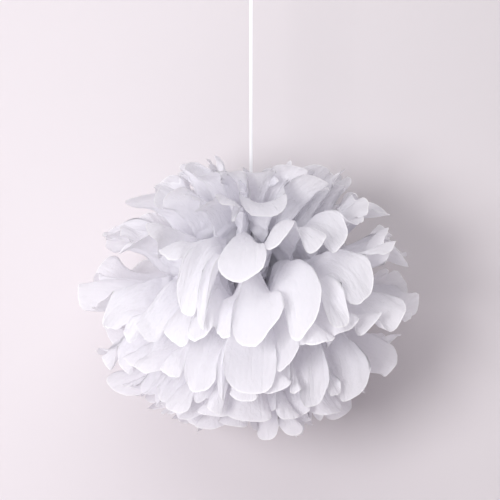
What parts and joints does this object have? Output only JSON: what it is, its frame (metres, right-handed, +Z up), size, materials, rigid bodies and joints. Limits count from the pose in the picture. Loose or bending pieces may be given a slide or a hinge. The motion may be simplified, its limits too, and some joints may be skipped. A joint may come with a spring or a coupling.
{
  "type": "tissue paper pom pom",
  "caption": "Hanging paper pom pom: stacked tissue sheets folded to and fro, tied at the middle, round-ended and pulled out into a flattened ball of petals, on a thin satin ribbon with a loop.",
  "frame": {"origin": "top of the ribbon's loop, where it hangs on a hook, straight above the middle of the ball", "axes": "+Z up along the ribbon; X is the line of the folded stack, with the left and right fans on either side; -Y is the front that the picture shows, with one of the two slits between the fans"},
  "size_m": [0.3014, 0.2982, 0.4294],
  "materials": {
    "tissue": "soft white tissue paper, thin enough to let light through",
    "satin_ribbon": "white satin ribbon",
    "tie_wire": "bare soft steel wire"
  },
  "bodies": {
    "root": {"tissue_sheet_1": "tissue", "tissue_sheet_2": "tissue", "tissue_sheet_3": "tissue", "tissue_sheet_4": "tissue", "tissue_sheet_5": "tissue", "tissue_sheet_6": "tissue", "tissue_sheet_7": "tissue", "tissue_sheet_8": "tissue", "tie_wire": "tie_wire", "ribbon_tie_knot": "satin_ribbon", "hanging_ribbon": "satin_ribbon", "ribbon_top_knot": "satin_ribbon", "ribbon_loop": "satin_ribbon"}
  },
  "joints": []
}
